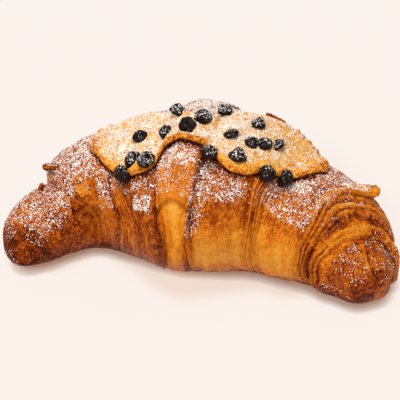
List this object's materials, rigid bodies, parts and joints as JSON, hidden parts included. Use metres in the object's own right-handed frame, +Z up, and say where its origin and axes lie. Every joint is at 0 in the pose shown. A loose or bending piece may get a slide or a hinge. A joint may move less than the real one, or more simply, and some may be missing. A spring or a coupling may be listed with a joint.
{
  "type": "chocolate almond croissant",
  "caption": "Rolled crescent of flaky laminated dough with a two-lobed slab of baked almond paste over its crown and chocolate drops half sunk in it.",
  "frame": {"origin": "middle of the footprint, on the surface that the croissant rests on", "axes": "+Z up, +X along the crescent from its left tip to its right tip, -Y towards the hollow side, where both tips point"},
  "size_m": [0.178, 0.0894, 0.0735],
  "materials": {
    "crust": "baked, egg-washed crust, satin and deep golden brown, darker at the edges of the layers",
    "paste": "baked almond paste, matt and pale golden, orange-brown at its rim, dusted with icing sugar",
    "chocolate": "dark chocolate, satin",
    "sugar": "icing sugar, matt white powder"
  },
  "bodies": {
    "root": {"croissant": "crust", "almond_paste": "paste", "chocolate_drop_01": "chocolate", "chocolate_drop_02": "chocolate", "chocolate_drop_03": "chocolate", "chocolate_drop_04": "chocolate", "chocolate_drop_05": "chocolate", "chocolate_drop_06": "chocolate", "chocolate_drop_07": "chocolate", "chocolate_drop_08": "chocolate", "chocolate_drop_09": "chocolate", "chocolate_drop_10": "chocolate", "chocolate_drop_11": "chocolate", "chocolate_drop_12": "chocolate", "chocolate_drop_13": "chocolate", "chocolate_drop_14": "chocolate", "chocolate_drop_15": "chocolate", "chocolate_drop_16": "chocolate", "chocolate_drop_17": "chocolate", "chocolate_drop_18": "chocolate"}
  },
  "joints": []
}
